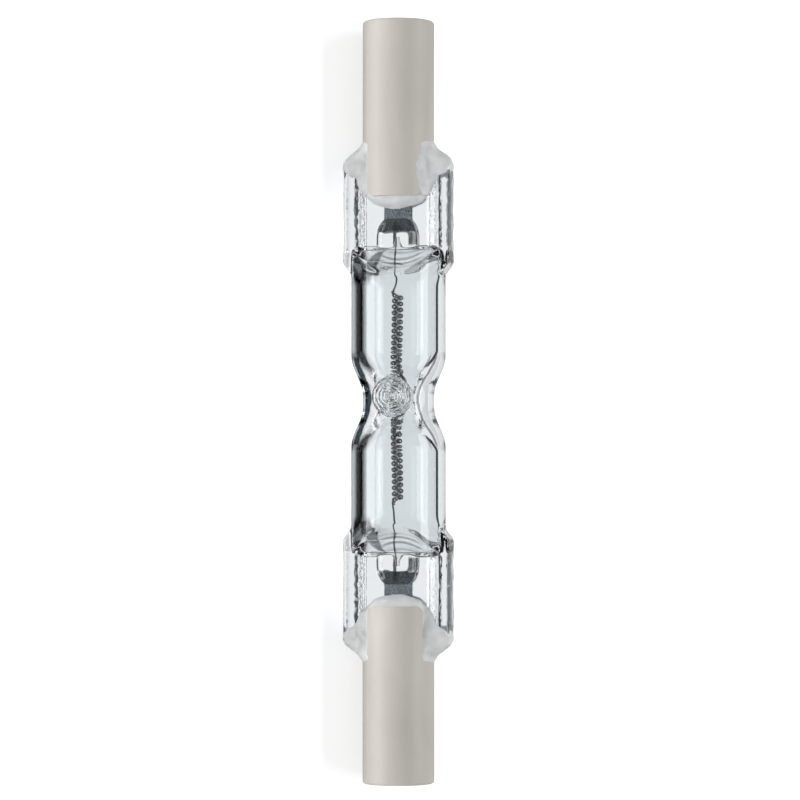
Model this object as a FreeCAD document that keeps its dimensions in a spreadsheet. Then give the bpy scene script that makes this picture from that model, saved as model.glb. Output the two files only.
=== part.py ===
import FreeCAD, Part
import math
import os
import re
import Sketcher

# Double-ended linear halogen lamp, 78 mm class, with a recessed contact in each ceramic cap.
# The lamp is drawn about its own axis, X, with the exhaust tip on +Z, and then laid down at rest:
# it has rolled until the tube and one long edge of each pressed seal touch the surface at Z = 0.
# The end towards -X is "a", the end towards +X is "b". Sizes are in millimetres.

doc = FreeCAD.newDocument("linear_halogen_bulb")

# Driving dimensions
SIZES = [
    ("overall_len", 78.3, "length over both caps"),
    ("contact_depth", 1.7, "from the end of the cap to the contact's face and the floor round it"),
    ("tube_d", 9.7, "outside of the quartz tube"),
    ("tube_wall", 1.1, "wall of the tube"),
    ("neck_draw", 2.33, "how much slimmer the neck is than the tube, at its waist"),
    ("neck_len", 9.4, "length of the neck outside"),
    ("waist_len", 1.2, "straight stretch at the waist"),
    ("neck_bore", 2.8, "inside of the neck at its waist"),
    ("neck_bore_len", 10.4, "length of the neck inside"),
    ("seal_len", 11.6, "from the end of the straight tube to the end of the pressed seal"),
    ("shoulder_len", 2.7, "length over which the press has flattened the tube"),
    ("seal_spread", 1.4, "how much wider the pressed seal is than the tube"),
    ("seal_t", 3.4, "thickness of the pressed seal at its rails"),
    ("seal_gap", 1.7, "from the end of the seal to the floor of the cap's slot"),
    ("rail_w", 1.2, "flat on top of each rail, with its bevel"),
    ("rail_bevel", 0.3, "bevel along the outer edges of the rails"),
    ("rail_slope", 1.0, "width of the slope from a rail down to the web"),
    ("flare_early", 0.4, "the seal's flare starts before the end of the straight tube by"),
    ("flare_in", 1.25, "flare narrower than the seal on each side where it leaves the tube"),
    ("flare_len", 2.3, "length of the flare"),
    ("web_t", 2.2, "thickness of the web between the rails"),
    ("rib_w", 4.3, "width of the rib over the lead"),
    ("rib_t", 3.4, "thickness of the seal at the rib"),
    ("rib_bevel", 0.6, "bevel along the rib"),
    ("rib_len", 4.7, "length of the rib from the end of the straight tube"),
    ("rib_fade", 1.4, "length over which the end of the rib sinks into the web"),
    ("rib_sink", 0.2, "how far the rib's very end is below the faces of the web, both together"),
    ("dome_early", 0.6, "the bore starts to close before the end of the straight tube by"),
    ("dome_len", 2.6, "length over which the bore closes"),
    ("pocket_len", 2.0, "pocket round the inner lead, past the dome"),
    ("pocket_d", 0.9, "pocket round the inner lead"),
    ("tip_d", 4.0, "exhaust tip"),
    ("tip_rise", 1.765, "exhaust tip above the waist of the neck"),
    ("tip_dome", 1.25, "height of the tip's dome"),
    ("tip_foot", 0.7, "where the tip flows into the neck"),
    ("tip_shift", -0.4, "exhaust tip along the lamp from its middle"),
    ("tip_bore", 1.5, "bore left in the exhaust tip"),
    ("tip_roof", 1.3, "glass over the sealed bore of the tip"),
    ("foil_w", 2.95, "width of the seal foil"),
    ("foil_t", 0.04, "thickness of the seal foil"),
    ("foil_len", 5.8, "length of the foil"),
    ("foil_heel", 1.3, "from the end of the foil to the end of the seal"),
    ("inner_lead_d", 0.3, "inner lead"),
    ("inner_lead_lap", 1.3, "inner lead on the foil"),
    ("inner_lead_gap", 0.04, "clear space round the inner lead in the quartz"),
    ("outer_lead_d", 0.7, "outer lead"),
    ("outer_lead_lap", 1.3, "outer lead on the foil"),
    ("coil_d", 1.23, "outside of the coiled filament"),
    ("coil_wire", 0.46, "outside of the primary coil that is wound into the filament"),
    ("coil_pitch", 0.62, "pitch of the filament, met as nearly as whole turns allow"),
    ("coil_shift", -0.4, "middle of the filament along the lamp"),
    ("leg_len", 2.36, "average length of the filament's legs"),
    ("cap_d", 7.37, "ceramic cap"),
    ("rim_bevel", 0.4, "bevel at the cap's outer rim"),
    ("solid_len", 12.95, "cap from its outer end to the floor of its slot"),
    ("tongue_len", 5.25, "tongues of the cap that reach over the seal"),
    ("tongue_gap", 0.5, "from a tongue to the foot of the rail's slope on each side"),
    ("recess_d", 4.2, "recess at the end of the cap"),
    ("head_d", 3.2, "head of the contact"),
    ("head_t", 1.05, "thickness of the contact's head"),
    ("head_bevel", 0.15, "bevel round the contact's face"),
    ("shank_d", 1.6, "shank of the contact"),
    ("shank_len", 2.2, "length of the contact's shank"),
    ("lead_socket", 1.5, "depth of the outer lead in the contact's shank"),
    ("contact_gap", 0.05, "clear space round the contact in the ceramic"),
    ("lead_gap", 0.15, "clear space round the outer lead in the ceramic"),
    ("cement_bed", 0.15, "cement between a tongue and the web"),
    ("cement_lip", 0.85, "cement past the ends of the tongues"),
    ("cement_sink", 0.13, "surface of the cement below the cap's"),
    ("cement_heel", 3.5, "diameter of the cement where it ends on the web"),
]

# How finely the curves are drawn
NECK_CHORDS = 3
THROAT_CHORDS = 2
SHOULDER_CHORDS = 5
DOME_CHORDS = 2
COIL_CHORDS = 7
COIL_SIDES = 5

sheet = doc.addObject("Spreadsheet::Sheet", "dims")
for row, (name, size, meaning) in enumerate(SIZES, start=1):
    sheet.set("A%d" % row, name)
    sheet.set("B%d" % row, str(size))
    sheet.set("C%d" % row, meaning)
    sheet.setAlias("B%d" % row, name)
doc.recompute()

SIZE_NAME = re.compile(r"\b(%s)\b" % "|".join(name for name, size, meaning in SIZES))

# Sizes that follow from the driving ones, as formulas. Places along the lamp run from its middle.
CAP_END = "(overall_len / 2)"
SLOT_FLOOR = "(%s - solid_len)" % CAP_END
TONGUE_END = "(%s - tongue_len)" % SLOT_FLOOR
CONTACT_FACE = "(%s - contact_depth)" % CAP_END
HEAD_SEAT = "(%s - head_t)" % CONTACT_FACE
SHANK_END = "(%s - shank_len)" % HEAD_SEAT
SEAL_END = "(%s - seal_gap)" % SLOT_FLOOR
SHOULDER = "(%s - seal_len)" % SEAL_END
SHOULDER_END = "(%s + shoulder_len)" % SHOULDER
FLARE = "(%s - flare_early)" % SHOULDER
FLARE_END = "(%s + flare_len)" % FLARE
RIB_END = "(%s + rib_len)" % SHOULDER
DOME = "(%s - dome_early)" % SHOULDER
POCKET_END = "(%s + dome_len + pocket_len)" % DOME
FOIL_END = "(%s - foil_heel)" % SEAL_END
FOIL = "(%s - foil_len)" % FOIL_END
INNER_LEAD_END = "(%s + inner_lead_lap)" % FOIL
OUTER_LEAD = "(%s - outer_lead_lap)" % FOIL_END
LIP = "(%s - cement_lip)" % TONGUE_END

TUBE_R = "(tube_d / 2)"
TUBE_BORE_R = "(tube_d / 2 - tube_wall)"
NECK_R = "((tube_d - neck_draw) / 2)"
SEAL_W = "(tube_d + seal_spread)"
CHANNEL_W = "(%s - 2 * rail_w)" % SEAL_W
WEB_W = "(%s - 2 * rail_slope)" % CHANNEL_W
TONGUE_W = "(%s - 2 * tongue_gap)" % WEB_W
SLOT_W = "(web_t + 2 * cement_bed)"
CEMENT_R = "(cap_d / 2 - cement_sink)"
LEAD_BORE_R = "(outer_lead_d / 2 + lead_gap)"
FOIL_Z = "(-(outer_lead_d + foil_t) / 2)"
INNER_LEAD_Z = "((inner_lead_d - outer_lead_d) / 2)"
COIL_R = "((coil_d - coil_wire) / 2)"
COIL_LEN = "(2 * (%s - leg_len))" % SHOULDER
INNER_LEAD_Y = "(-sqrt(pow(%s; 2) - pow(%s; 2)))" % (COIL_R, INNER_LEAD_Z)

# Resting attitude: the lamp rolls until a corner of the seal's section reaches the surface that
# carries the tube. A seal too narrow to reach it would lie with that corner at its lowest.
EDGE_Y = "(%s / 2)" % SEAL_W
EDGE_Z = "(seal_t / 2 - rail_bevel)"
EDGE_LIFT = "(tube_d / 2 / hypot(%s; %s))" % (EDGE_Y, EDGE_Z)
EDGE_ROLL = "(asin(min(1; %s)) - atan(%s / %s))" % (EDGE_LIFT, EDGE_Z, EDGE_Y)
FACE_Y = "(%s - rail_bevel)" % EDGE_Y
FACE_LIFT = "(tube_d / 2 / hypot(%s; seal_t / 2))" % FACE_Y
FACE_ROLL = "(asin(min(1; %s)) - atan(seal_t / 2 / %s))" % (FACE_LIFT, FACE_Y)
ROLL = "min(%s; %s)" % (EDGE_ROLL, FACE_ROLL)
AT_REST = "placement(vector(0; 0; tube_d / 2); rotation(vector(1; 0; 0); %s))" % ROLL
FACING_A = " * placement(vector(0; 0; 0); rotation(vector(0; 0; 1); 180))"
ENDS = {"a": AT_REST + FACING_A, "b": AT_REST}


def in_sheet(formula):
    """The formula with each size's name pointed at the spreadsheet."""
    return SIZE_NAME.sub(r"dims.\g<0>", formula)


def value(formula):
    """The number that a formula gives now, in millimetres."""
    return float(sheet.evalExpression(in_sheet(formula)))


def new_body(label, placement):
    """A body with its own label, laid where the formula puts it."""
    body = doc.addObject("PartDesign::Body", label)
    body.Label = label
    body.setExpression("Placement", in_sheet(placement))
    return body


def new_sketch(body, name, plane, offset="0", along="z"):
    """A sketch on one of the body's own planes, moved by the offset along the sketch's own axis."""
    sketch = body.newObject("Sketcher::SketchObject", name)
    for feature in body.Origin.OriginFeatures:
        if feature.Role == plane:
            sketch.AttachmentSupport = [(feature, "")]
    sketch.MapMode = "FlatFace"
    sketch.setExpression("AttachmentOffset.Base." + along, in_sheet(offset))
    return sketch


def hold(sketch, kind, geometry, vertex, formula):
    """Ties one coordinate of a sketch point to a formula, or the point to an axis where it is zero."""
    if formula == "0":
        axis = -2 if kind == "DistanceX" else -1
        sketch.addConstraint(Sketcher.Constraint("PointOnObject", geometry, vertex, axis))
        return
    rule = Sketcher.Constraint(kind, -1, 1, geometry, vertex, value(formula))
    index = sketch.addConstraint(rule)
    sketch.setExpression("Constraints[%d]" % index, in_sheet(formula))


def draw_outline(sketch, corners):
    """Closes an outline of straight lines through its corners, in order."""
    places = [FreeCAD.Vector(value(across), value(up), 0) for across, up in corners]
    lines = []
    for index, place in enumerate(places):
        lines.append(sketch.addGeometry(Part.LineSegment(places[index - 1], place), False))
    for index, (across, up) in enumerate(corners):
        following = lines[(index + 1) % len(lines)]
        sketch.addConstraint(Sketcher.Constraint("Coincident", lines[index], 2, following, 1))
        hold(sketch, "DistanceX", lines[index], 2, across)
        hold(sketch, "DistanceY", lines[index], 2, up)


def ease(start, stop, chords):
    """Corners of an S-shaped stretch that leaves and arrives level, as a half wave."""
    corners = []
    for step in range(1, chords + 1):
        share = "((1 - cos(180 deg * %d / %d)) / 2)" % (step, chords)
        across = "(%s + (%s - %s) * %d / %d)" % (start[0], stop[0], start[0], step, chords)
        up = "(%s + (%s - %s) * %s)" % (start[1], stop[1], start[1], share)
        corners.append((across, up))
    return corners


def close_in(start, reach, drop, chords):
    """Corners of a quarter of an ellipse that leaves level and arrives upright."""
    corners = []
    for step in range(1, chords + 1):
        angle = "90 deg * %d / %d" % (step, chords)
        across = "(%s + %s * sin(%s))" % (start[0], reach, angle)
        up = "(%s - %s * (1 - cos(%s)))" % (start[1], drop, angle)
        corners.append((across, up))
    return corners


def draw_circle(sketch, across, up, diameter):
    """A circle with its centre and diameter tied to formulas."""
    centre = FreeCAD.Vector(value(across), value(up), 0)
    circle = Part.Circle(centre, FreeCAD.Vector(0, 0, 1), value(diameter) / 2)
    geometry = sketch.addGeometry(circle, False)
    hold(sketch, "DistanceX", geometry, 3, across)
    hold(sketch, "DistanceY", geometry, 3, up)
    index = sketch.addConstraint(Sketcher.Constraint("Diameter", geometry, value(diameter)))
    sketch.setExpression("Constraints[%d]" % index, in_sheet(diameter))


def draw_symmetric(sketch, quarter):
    """Closes an outline that four quarters share, given by the corners of its first quarter."""
    corners = list(quarter)
    corners += [("-" + across, up) for across, up in reversed(quarter)]
    corners += [("-" + across, "-" + up) for across, up in quarter]
    corners += [(across, "-" + up) for across, up in reversed(quarter)]
    draw_outline(sketch, corners)


def draw_bevelled(sketch, width, height, bevel):
    """A rectangle about the sketch's origin with bevelled corners."""
    right = "(%s / 2)" % width
    top = "(%s / 2)" % height
    draw_symmetric(sketch, [(right, "(%s - %s)" % (top, bevel)), ("(%s - %s)" % (right, bevel), top)])


def turn(body, kind, sketch, axis="H_Axis"):
    """Turns a sketch right round one of its own axes, as a solid or as a cut."""
    feature = body.newObject("PartDesign::" + kind, sketch.Name + "_turned")
    feature.Profile = sketch
    feature.ReferenceAxis = (sketch, [axis])
    feature.Angle = 360
    return feature


def extrude(body, kind, sketch, length, backwards=False, symmetric=False):
    """Extrudes a sketch along its normal by a length that follows a formula."""
    feature = body.newObject("PartDesign::" + kind, sketch.Name + "_extruded")
    feature.Profile = sketch
    feature.SideType = "Symmetric" if symmetric else "One side"
    feature.Reversed = backwards
    feature.setExpression("Length", in_sheet(length))
    return feature


def cut_along(body, name, start, stop, draw):
    """Cuts a drawn section out of a body along +X, from one distance to another."""
    sketch = new_sketch(body, name, "YZ_Plane", start)
    draw(sketch)
    doc.recompute()
    before = body.Shape.Volume
    pocket = extrude(body, "Pocket", sketch, "%s - %s" % (stop, start), backwards=True)
    doc.recompute()
    if not body.Shape.Volume < before:
        raise RuntimeError(name + " cuts nothing")
    return pocket


def draw_seal_section(sketch):
    """The H section of the pressed seal: two rails with sloping inner flanks, and a web."""
    draw_symmetric(sketch, [
        (EDGE_Y, EDGE_Z),
        (FACE_Y, "(seal_t / 2)"),
        ("(%s / 2)" % CHANNEL_W, "(seal_t / 2)"),
        ("(%s / 2)" % WEB_W, "(web_t / 2)"),
    ])


def make_envelope():
    """The quartz: one half with its seal, mirrored, then the exhaust tip on the neck."""
    body = new_body("quartz_envelope", AT_REST)

    # Root of the seal, which flares out of the tube
    narrow = new_sketch(body, "flare_start", "YZ_Plane", FLARE)
    draw_bevelled(narrow, "(%s - 2 * flare_in)" % SEAL_W, "seal_t", "rail_bevel")
    wide = new_sketch(body, "flare_stop", "YZ_Plane", FLARE_END)
    draw_bevelled(wide, SEAL_W, "seal_t", "rail_bevel")
    doc.recompute()
    flare = body.newObject("PartDesign::AdditiveLoft", "flare")
    flare.Profile = narrow
    flare.Sections = [wide]
    flare.Ruled = True
    root = new_sketch(body, "seal_root", "YZ_Plane", FLARE_END)
    draw_bevelled(root, SEAL_W, "seal_t", "rail_bevel")
    extrude(body, "Pad", root, "%s - %s" % (SHOULDER_END, FLARE_END))

    # Rails and web of the seal
    section = new_sketch(body, "seal_section", "YZ_Plane", SHOULDER_END)
    draw_seal_section(section)
    extrude(body, "Pad", section, "%s - %s" % (SEAL_END, SHOULDER_END))

    # Rib over the lead, which sinks into the web at its end
    rib = new_sketch(body, "seal_rib", "YZ_Plane", SHOULDER)
    draw_bevelled(rib, "rib_w", "rib_t", "rib_bevel")
    extrude(body, "Pad", rib, "rib_len")
    crest = new_sketch(body, "rib_crest", "YZ_Plane", RIB_END)
    draw_bevelled(crest, "rib_w", "rib_t", "rib_bevel")
    sunk = new_sketch(body, "rib_sunk", "YZ_Plane", "(%s + rib_fade)" % RIB_END)
    draw_bevelled(sunk, "(rib_w - 2 * rib_bevel)", "(web_t - rib_sink)", "rib_sink")
    doc.recompute()
    fade = body.newObject("PartDesign::AdditiveLoft", "rib_end")
    fade.Profile = crest
    fade.Sections = [sunk]
    fade.Ruled = True

    # Tube and neck
    skin = new_sketch(body, "tube_skin", "XY_Plane")
    waist = ("waist_len / 2", NECK_R)
    full = ("neck_len / 2", TUBE_R)
    draw_outline(skin, [("0", "0"), ("0", NECK_R), waist]
                 + ease(waist, full, NECK_CHORDS)
                 + [(SHOULDER_END, TUBE_R), (SHOULDER_END, "0")])
    turn(body, "Revolution", skin)

    # Shoulder, where the straight jaws of the press came down on the tube from both sides
    start = (SHOULDER, TUBE_R)
    jaw = ([start] + close_in(start, "shoulder_len", "((tube_d - seal_t) / 2)", SHOULDER_CHORDS)
           + [(SHOULDER_END, "tube_d"), (SHOULDER, "tube_d")])
    for side in ("", "-"):
        press = new_sketch(body, "press_jaw", "XZ_Plane")
        draw_outline(press, [(across, side + up) for across, up in jaw])
        extrude(body, "Pocket", press, "2 * tube_d", symmetric=True)

    # Spaces that the foil and the two leads take up in the seal
    foil_top = "(%s + foil_t / 2)" % FOIL_Z
    foil_under = "(%s - foil_t / 2)" % FOIL_Z
    cut_along(body, "foil_space", FOIL, FOIL_END, lambda sketch: draw_outline(sketch, [
        ("foil_w / 2", foil_under),
        ("foil_w / 2", foil_top),
        ("-foil_w / 2", foil_top),
        ("-foil_w / 2", foil_under),
    ]))
    cut_along(body, "inner_lead_space", DOME, "(%s + inner_lead_gap)" % INNER_LEAD_END,
              lambda sketch: draw_circle(sketch, INNER_LEAD_Y, INNER_LEAD_Z,
                                         "inner_lead_d + 2 * inner_lead_gap"))
    cut_along(body, "outer_lead_space", OUTER_LEAD, SEAL_END,
              lambda sketch: draw_circle(sketch, "0", "0", "outer_lead_d"))

    # The other half
    doc.recompute()
    whole = body.newObject("PartDesign::Mirrored", "both_halves")
    whole.TransformMode = "Whole shape"
    for feature in body.Origin.OriginFeatures:
        if feature.Role == "YZ_Plane":
            whole.MirrorPlane = (feature, [""])
    body.Tip = whole
    doc.recompute()

    # Exhaust tip: a stub of tube melted into a dome
    foot_r = "(tip_d / 2 + tip_foot)"
    foot_z = "sqrt(pow(%s; 2) - pow(%s; 2))" % (NECK_R, foot_r)
    rim = ("tip_d / 2", "(%s + tip_rise - tip_dome)" % NECK_R)
    dome = close_in((rim[1], rim[0]), "tip_dome", "tip_d / 2", DOME_CHORDS)
    tip = new_sketch(body, "exhaust_tip", "XZ_Plane", "tip_shift", "x")
    draw_outline(tip, [
        ("0", "0"),
        (foot_r, "0"),
        (foot_r, foot_z),
        ("tip_d / 2", "%s + tip_foot" % foot_z),
        rim,
    ] + [(radius, height) for height, radius in dome])
    turn(body, "Revolution", tip, "V_Axis")

    # Bore, drawn in at the neck and closed by a dome at each seal, with a pocket round the lead
    bore = new_sketch(body, "tube_bore", "XY_Plane")
    throat = ("waist_len / 2", "neck_bore / 2")
    open_bore = ("neck_bore_len / 2", TUBE_BORE_R)
    closing = (DOME, TUBE_BORE_R)
    half = ([throat] + ease(throat, open_bore, THROAT_CHORDS) + [closing]
            + close_in(closing, "dome_len", "(%s - pocket_d / 2)" % TUBE_BORE_R, DOME_CHORDS)
            + [(POCKET_END, "pocket_d / 2"), (POCKET_END, "0")])
    draw_outline(bore, half + [("-" + across, up) for across, up in reversed(half)])
    turn(body, "Groove", bore)

    # What is left of the bore of the tip
    rest = new_sketch(body, "tip_bore_rest", "XZ_Plane", "tip_shift", "x")
    draw_outline(rest, [
        ("0", "0"),
        ("tip_bore / 2", "0"),
        ("tip_bore / 2", "(%s + tip_rise - tip_roof)" % NECK_R),
        ("0", "(%s + tip_rise - tip_roof)" % NECK_R),
    ])
    turn(body, "Groove", rest, "V_Axis")
    return body


def flat_face(corners):
    """The flat face inside a closed outline."""
    return Part.Face(Part.makePolygon(corners + corners[:1]))


def make_filament():
    """The coiled coil, as the tube that its primary coil fills, with a straight leg at each end.

    The tube is five-sided and mitred at each corner of its path, so its faces are flat.
    """
    radius = value(COIL_R)
    start = value("coil_shift - %s / 2" % COIL_LEN)
    stations = round(value("%s / coil_pitch" % COIL_LEN)) * COIL_CHORDS
    first_angle = math.atan2(value(INNER_LEAD_Z), value(INNER_LEAD_Y))
    path = []
    for station in range(stations + 1):
        angle = first_angle + 2 * math.pi * station / COIL_CHORDS
        reach = start + value(COIL_LEN) * station / stations
        path.append(FreeCAD.Vector(reach, radius * math.cos(angle), radius * math.sin(angle)))
    path.insert(0, FreeCAD.Vector(-value(SHOULDER), path[0].y, path[0].z))
    path.append(FreeCAD.Vector(value(SHOULDER), path[-1].y, path[-1].z))

    rim = []
    for corner in range(COIL_SIDES):
        angle = 2 * math.pi * corner / COIL_SIDES
        spoke = FreeCAD.Vector(0, math.cos(angle), math.sin(angle))
        rim.append(path[0] + spoke * value("coil_wire / 2"))
    sides = [flat_face(rim)]
    for index in range(1, len(path)):
        onward = (path[index] - path[index - 1]).normalize()
        mitre = FreeCAD.Vector(onward)
        if index + 1 < len(path):
            mitre += (path[index + 1] - path[index]).normalize()
        last = rim
        rim = [point + onward * ((path[index] - point).dot(mitre) / onward.dot(mitre)) for point in last]
        for corner in range(COIL_SIDES):
            sides.append(flat_face([last[corner - 1], last[corner], rim[corner], rim[corner - 1]]))
    sides.append(flat_face(rim))
    skin = Part.makeShell(sides)
    skin.sewShape()
    coil = doc.addObject("Part::Feature", "coiled_filament")
    coil.Label = "coiled_filament"
    coil.Shape = Part.makeSolid(skin)
    coil.setExpression("Placement", in_sheet(AT_REST))
    return coil


def make_inner_lead(end):
    """The thin lead, from the end of a filament leg to its weld on the foil."""
    lead = doc.addObject("Part::Cylinder", "inner_lead_" + end)
    lead.Label = "inner_lead_" + end
    lead.setExpression("Radius", in_sheet("inner_lead_d / 2"))
    lead.setExpression("Height", in_sheet("%s - %s" % (INNER_LEAD_END, SHOULDER)))
    start = SHOULDER if end == "b" else "-" + INNER_LEAD_END
    along_x = " * placement(vector(%s; %s; %s); rotation(vector(0; 1; 0); 90))"
    lay = AT_REST + along_x % (start, INNER_LEAD_Y, INNER_LEAD_Z)
    lead.setExpression("Placement", in_sheet(lay))
    return lead


def make_foil(end):
    """The sealing foil, a flat strip inside the web."""
    foil = doc.addObject("Part::Box", "seal_foil_" + end)
    foil.Label = "seal_foil_" + end
    foil.setExpression("Length", in_sheet("foil_len"))
    foil.setExpression("Width", in_sheet("foil_w"))
    foil.setExpression("Height", in_sheet("foil_t"))
    corner = " * placement(vector(%s; -foil_w / 2; %s - foil_t / 2); rotation(vector(0; 0; 1); 0))"
    foil.setExpression("Placement", in_sheet(ENDS[end] + corner % (FOIL, FOIL_Z)))
    return foil


def make_outer_lead(end):
    """The thick lead, from its weld on the foil to the bottom of the socket in the contact."""
    lead = doc.addObject("Part::Cylinder", "outer_lead_" + end)
    lead.Label = "outer_lead_" + end
    lead.setExpression("Radius", in_sheet("outer_lead_d / 2"))
    lead.setExpression("Height", in_sheet("%s + lead_socket - %s" % (SHANK_END, OUTER_LEAD)))
    along_x = " * placement(vector(%s; 0; 0); rotation(vector(0; 1; 0); 90))" % OUTER_LEAD
    lead.setExpression("Placement", in_sheet(ENDS[end] + along_x))
    return lead


def make_cap(end):
    """The ceramic cap: a turned sleeve, cut away to two tongues that reach over the seal."""
    body = new_body("ceramic_cap_" + end, ENDS[end])
    sleeve = new_sketch(body, "cap_sleeve_" + end, "XY_Plane")
    draw_outline(sleeve, [
        (TONGUE_END, LEAD_BORE_R),
        (TONGUE_END, "cap_d / 2"),
        ("%s - rim_bevel" % CAP_END, "cap_d / 2"),
        (CAP_END, "cap_d / 2 - rim_bevel"),
        (CAP_END, "recess_d / 2"),
        (CONTACT_FACE, "recess_d / 2"),
        (CONTACT_FACE, "head_d / 2 + contact_gap"),
        (HEAD_SEAT, "head_d / 2 + contact_gap"),
        (HEAD_SEAT, "shank_d / 2 + contact_gap"),
        (SHANK_END, "shank_d / 2 + contact_gap"),
        (SHANK_END, LEAD_BORE_R),
    ])
    turn(body, "Revolution", sleeve)

    # Slot across the cap, and flats that leave the two tongues
    clear = "cap_d"
    cut_along(body, "cap_slot_" + end, TONGUE_END, SLOT_FLOOR, lambda sketch: draw_symmetric(sketch, [
        (clear, clear),
        ("(%s / 2)" % TONGUE_W, clear),
        ("(%s / 2)" % TONGUE_W, "(%s / 2)" % SLOT_W),
    ]))
    return body


def make_contact(end):
    """The contact: a flat head in the floor of the recess, on a shank that holds the lead."""
    body = new_body("end_contact_" + end, ENDS[end])
    profile = new_sketch(body, "contact_profile_" + end, "XY_Plane")
    socket_end = "(%s + lead_socket)" % SHANK_END
    draw_outline(profile, [
        (socket_end, "0"),
        (socket_end, "outer_lead_d / 2"),
        (SHANK_END, "outer_lead_d / 2"),
        (SHANK_END, "shank_d / 2"),
        (HEAD_SEAT, "shank_d / 2"),
        (HEAD_SEAT, "head_d / 2"),
        ("(%s - head_bevel)" % CONTACT_FACE, "head_d / 2"),
        (CONTACT_FACE, "head_d / 2 - head_bevel"),
        (CONTACT_FACE, "0"),
    ])
    turn(body, "Revolution", profile)
    return body


def make_cement(end, cap):
    """The cement: it fills the cap's slot round the seal and spills out beside the tongues."""
    body = new_body("cement_form_" + end, ENDS[end])
    fill = new_sketch(body, "cement_fill_" + end, "XY_Plane")
    draw_outline(fill, [
        (LIP, "0"),
        (LIP, "cement_heel / 2"),
        (TONGUE_END, CEMENT_R),
        (SLOT_FLOOR, CEMENT_R),
        (SLOT_FLOOR, "0"),
    ])
    turn(body, "Revolution", fill)
    foot = new_sketch(body, "collar_foot_" + end, "YZ_Plane", SEAL_END)
    draw_bevelled(foot, SEAL_W, "seal_t", "rail_bevel")
    head = new_sketch(body, "collar_head_" + end, "YZ_Plane", SLOT_FLOOR)
    draw_bevelled(head, "(2 * %s)" % CEMENT_R, SLOT_W, "rail_bevel")
    doc.recompute()
    collar = body.newObject("PartDesign::AdditiveLoft", "collar_" + end)
    collar.Profile = foot
    collar.Sections = [head]
    collar.Ruled = True
    cut_along(body, "seal_seat_" + end, LIP, SEAL_END, draw_seal_section)
    cut_along(body, "lead_hole_" + end, SEAL_END, SLOT_FLOOR,
              lambda sketch: draw_circle(sketch, "0", "0", "outer_lead_d"))
    cement = doc.addObject("Part::Cut", "cap_cement_" + end)
    cement.Label = "cap_cement_" + end
    cement.Base = body
    cement.Tool = cap
    return cement


def check(pieces):
    """Stops where anything in the document has failed or a piece isn't one sound solid."""
    for item in doc.Objects:
        if "Invalid" in item.State or "Error" in item.State:
            raise RuntimeError(item.Label + " failed")
    for piece in pieces:
        shape = piece.Shape
        if shape.isNull() or not shape.isValid() or len(shape.Solids) != 1:
            raise RuntimeError(piece.Label + " isn't one sound solid")


pieces = [make_envelope(), make_filament()]
for end in ENDS:
    cap = make_cap(end)
    pieces += [make_inner_lead(end), make_foil(end), make_outer_lead(end)]
    pieces += [cap, make_contact(end), make_cement(end, cap)]
doc.recompute()
check(pieces)

os.makedirs("parts", exist_ok=True)
for piece in pieces:
    piece.Shape.exportStep(os.path.join("parts", piece.Label + ".step"))
    box = piece.Shape.BoundBox
    print("%-18s volume %9.3f mm3, z %.3f to %.3f" % (piece.Label, piece.Shape.Volume, box.ZMin, box.ZMax))
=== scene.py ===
import math

import bpy
import bmesh
import numpy as np
from mathutils import Matrix, Vector, noise


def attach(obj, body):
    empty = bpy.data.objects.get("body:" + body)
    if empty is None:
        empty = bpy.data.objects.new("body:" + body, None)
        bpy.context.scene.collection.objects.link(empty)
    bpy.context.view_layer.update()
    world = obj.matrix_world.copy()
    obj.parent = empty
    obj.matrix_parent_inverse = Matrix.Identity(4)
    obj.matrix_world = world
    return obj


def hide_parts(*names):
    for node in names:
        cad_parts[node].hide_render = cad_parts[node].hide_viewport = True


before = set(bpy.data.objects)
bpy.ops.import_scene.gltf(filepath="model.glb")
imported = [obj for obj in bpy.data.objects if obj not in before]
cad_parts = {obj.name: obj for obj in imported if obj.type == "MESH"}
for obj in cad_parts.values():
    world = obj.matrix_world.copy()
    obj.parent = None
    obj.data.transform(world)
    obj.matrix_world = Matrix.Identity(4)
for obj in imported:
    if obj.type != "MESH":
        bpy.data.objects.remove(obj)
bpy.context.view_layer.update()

# The lamp is drawn in millimetres about its own axis: X along it, Y across the seals, Z out of
# their front, where the exhaust tip is. LAY puts that into the part's frame, where it lies at rest.
MM = 0.001
TUBE_R = 4.85
SEAL_HALF_W = 5.55
SEAL_HALF_T = 1.7
RAIL_BEVEL = 0.3


def roll_until_touching(across, up):
    """The roll at which a corner of a seal's section is as low as the tube."""
    return math.asin(TUBE_R / math.hypot(across, up)) - math.atan2(up, across)


ROLL = min(
    roll_until_touching(SEAL_HALF_W, SEAL_HALF_T - RAIL_BEVEL),
    roll_until_touching(SEAL_HALF_W - RAIL_BEVEL, SEAL_HALF_T),
)
LAY = (
    Matrix.Translation((0, 0, TUBE_R * MM))
    @ Matrix.Rotation(ROLL, 4, "X")
    @ Matrix.Diagonal((MM, MM, MM, 1))
)
# How far the lying lamp reaches to each side of its axis, and above and below it
LYING_HALF_W = 4.96
LYING_HALF_H = TUBE_R - 0.002

TUBE_BORE_R = 3.75
TUBE_END = 12.0
NECK_R = 3.685
NECK_HALF = 4.7
THROAT_R = 1.4
THROAT_HALF = 5.2
WAIST_HALF = 0.6
SHOULDER_END = 15.6
SEAL_END = 24.5
WEB_HALF_T = 1.1
WEB_HALF_W = 3.35
CHANNEL_HALF_W = 4.35
RIB_HALF_T = 1.62
POCKET_END = 16.9
TIP_X = -0.4
CAP_R = 3.685
CAP_END = 39.15
SLOT_FLOOR = 26.2
TONGUE_END = 20.95
CONTACT_FACE = 37.45
COIL_R = 0.385
COIL_LEN = 21.08
COIL_TURNS = 34
COIL_SHIFT = -0.4


# Shapes

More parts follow.
